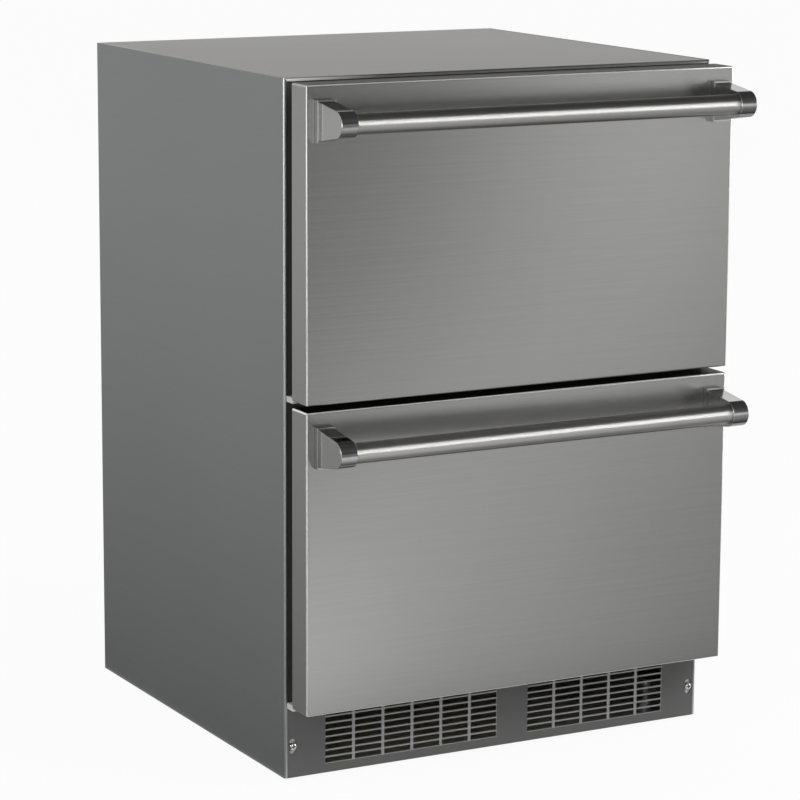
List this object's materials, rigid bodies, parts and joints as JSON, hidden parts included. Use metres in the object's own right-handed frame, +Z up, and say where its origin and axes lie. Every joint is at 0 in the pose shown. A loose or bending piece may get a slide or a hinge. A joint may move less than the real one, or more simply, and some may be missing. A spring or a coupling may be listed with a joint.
{
  "type": "undercounter drawer refrigerator",
  "caption": "Undercounter refrigerator with stacked pull-out drawers, full-width bar handles, a slotted toe grille and its cooling unit at the lower back.",
  "frame": {"origin": "middle of the whole footprint, handles included, on the floor", "axes": "+Z up, -Y towards the drawer fronts, +X to the right of someone facing them"},
  "size_m": [0.606, 0.6898, 0.872],
  "materials": {
    "brushed_front_steel": "satin brushed stainless steel, grain running across",
    "brushed_shell_steel": "satin brushed stainless steel, darker on the cabinet's sides",
    "brushed_top_steel": "satin brushed stainless steel",
    "handle_bar_steel": "fine brushed round bar",
    "polished_metal": "polished cast handle brackets",
    "grille_steel": "dark satin grille",
    "screw_steel": "bright screws",
    "galvanised_steel": "zinc-coated steel, satin",
    "gasket_rubber": "dark flexible gasket",
    "panel_plastic": "light grey moulded plastic, satin",
    "liner_plastic": "pale moulded plastic, satin",
    "insulating_foam": "rigid foam, matte",
    "frame_paint": "dark satin paint",
    "tub_metal": "satin silver-grey drawer tubs",
    "black_plastic": "black moulded plastic",
    "smoked_lens": "smoked display window, gloss",
    "light_diffuser": "white diffuser",
    "button_plastic": "light plastic, satin",
    "fin_aluminium": "bare aluminium fins",
    "compressor_paint": "black paint, satin",
    "tray_plastic": "dark grey moulded plastic",
    "copper_pipe": "bare copper tube"
  },
  "bodies": {
    "cabinet": {"side_panel_left": "brushed_shell_steel", "side_panel_right": "brushed_shell_steel", "top_panel": "brushed_top_steel", "rear_panel": "galvanised_steel", "base_pan": "galvanised_steel", "insulation_foam": "insulating_foam", "inner_liner": "liner_plastic", "face_frame": "frame_paint", "toe_grille": "grille_steel", "grille_screw_left": "screw_steel", "grille_screw_right": "screw_steel", "control_housing": "black_plastic", "display_lens": "smoked_lens", "light_bar": "light_diffuser", "evaporator_cover": "liner_plastic", "evaporator_coil": "fin_aluminium", "evaporator_fan_motor": "black_plastic", "compressor": "compressor_paint", "compressor_relay_box": "black_plastic", "condenser_coil": "fin_aluminium", "condenser_fan_shroud": "galvanised_steel", "condenser_fan_motor": "compressor_paint", "drain_tray": "tray_plastic", "filter_drier": "copper_pipe", "discharge_line": "copper_pipe", "suction_line": "copper_pipe", "cord_gland": "black_plastic", "upper_cabinet_runner_left": "galvanised_steel", "upper_cabinet_runner_right": "galvanised_steel", "lower_cabinet_runner_left": "galvanised_steel", "lower_cabinet_runner_right": "galvanised_steel"},
    "upper_drawer": {"upper_front_skin": "brushed_front_steel", "upper_front_panel": "panel_plastic", "upper_gasket": "gasket_rubber", "upper_tub": "tub_metal", "upper_handle_bar": "handle_bar_steel", "upper_handle_bracket_left": "polished_metal", "upper_handle_bracket_right": "polished_metal"},
    "upper_middle_runner_left_body": {"upper_middle_runner_left": "galvanised_steel"},
    "upper_middle_runner_right_body": {"upper_middle_runner_right": "galvanised_steel"},
    "lower_drawer": {"lower_front_skin": "brushed_front_steel", "lower_front_panel": "panel_plastic", "lower_gasket": "gasket_rubber", "lower_tub": "tub_metal", "lower_handle_bar": "handle_bar_steel", "lower_handle_bracket_left": "polished_metal", "lower_handle_bracket_right": "polished_metal"},
    "lower_middle_runner_left_body": {"lower_middle_runner_left": "galvanised_steel"},
    "lower_middle_runner_right_body": {"lower_middle_runner_right": "galvanised_steel"},
    "condenser_fan_wheel": {"condenser_fan": "black_plastic"},
    "evaporator_fan_wheel": {"evaporator_fan": "button_plastic"},
    "power_button_cap": {"power_button": "button_plastic"},
    "warmer_button_cap": {"warmer_button": "button_plastic"},
    "colder_button_cap": {"colder_button": "button_plastic"},
    "light_button_cap": {"light_button": "button_plastic"},
    "leg_front_left": {"leveling_leg_front_left": "galvanised_steel"},
    "leg_front_right": {"leveling_leg_front_right": "galvanised_steel"},
    "leg_rear_left": {"leveling_leg_rear_left": "galvanised_steel"},
    "leg_rear_right": {"leveling_leg_rear_right": "galvanised_steel"}
  },
  "joints": [
    {"name": "upper_drawer_slide", "type": "slide", "parent": "cabinet", "child": "upper_drawer", "axis": [0, -1, 0], "range_m": [0, 0.43]},
    {"name": "upper_left_runner_slide", "type": "slide", "parent": "cabinet", "child": "upper_middle_runner_left_body", "axis": [0, -1, 0], "range_m": [0, 0.216]},
    {"name": "upper_right_runner_slide", "type": "slide", "parent": "cabinet", "child": "upper_middle_runner_right_body", "axis": [0, -1, 0], "range_m": [0, 0.216]},
    {"name": "lower_drawer_slide", "type": "slide", "parent": "cabinet", "child": "lower_drawer", "axis": [0, -1, 0], "range_m": [0, 0.29]},
    {"name": "lower_left_runner_slide", "type": "slide", "parent": "cabinet", "child": "lower_middle_runner_left_body", "axis": [0, -1, 0], "range_m": [0, 0.146]},
    {"name": "lower_right_runner_slide", "type": "slide", "parent": "cabinet", "child": "lower_middle_runner_right_body", "axis": [0, -1, 0], "range_m": [0, 0.146]},
    {"name": "condenser_fan_spin", "type": "hinge", "parent": "cabinet", "child": "condenser_fan_wheel", "pos_m": [0.038, 0.24415, 0.0868], "axis": [1, 0, 0], "continuous": true},
    {"name": "evaporator_fan_spin", "type": "hinge", "parent": "cabinet", "child": "evaporator_fan_wheel", "pos_m": [0, 0.27645, 0.6], "axis": [0, 1, 0], "continuous": true},
    {"name": "power_button_press", "type": "slide", "parent": "cabinet", "child": "power_button_cap", "axis": [0, 1, 0], "range_m": [0, 0.001], "stiffness_N_per_m": 1500},
    {"name": "warmer_button_press", "type": "slide", "parent": "cabinet", "child": "warmer_button_cap", "axis": [0, 1, 0], "range_m": [0, 0.001], "stiffness_N_per_m": 1500},
    {"name": "colder_button_press", "type": "slide", "parent": "cabinet", "child": "colder_button_cap", "axis": [0, 1, 0], "range_m": [0, 0.001], "stiffness_N_per_m": 1500},
    {"name": "light_button_press", "type": "slide", "parent": "cabinet", "child": "light_button_cap", "axis": [0, 1, 0], "range_m": [0, 0.001], "stiffness_N_per_m": 1500},
    {"name": "front_left_leg_screw", "type": "slide", "parent": "cabinet", "child": "leg_front_left", "axis": [0, 0, -1], "range_m": [0, 0.025]},
    {"name": "front_right_leg_screw", "type": "slide", "parent": "cabinet", "child": "leg_front_right", "axis": [0, 0, -1], "range_m": [0, 0.025]},
    {"name": "rear_left_leg_screw", "type": "slide", "parent": "cabinet", "child": "leg_rear_left", "axis": [0, 0, -1], "range_m": [0, 0.025]},
    {"name": "rear_right_leg_screw", "type": "slide", "parent": "cabinet", "child": "leg_rear_right", "axis": [0, 0, -1], "range_m": [0, 0.025]}
  ],
  "couplings": [
    {"joint": "upper_left_runner_slide", "follows": "upper_drawer_slide", "ratio": 0.5},
    {"joint": "upper_right_runner_slide", "follows": "upper_drawer_slide", "ratio": 0.5},
    {"joint": "lower_left_runner_slide", "follows": "lower_drawer_slide", "ratio": 0.5},
    {"joint": "lower_right_runner_slide", "follows": "lower_drawer_slide", "ratio": 0.5}
  ]
}
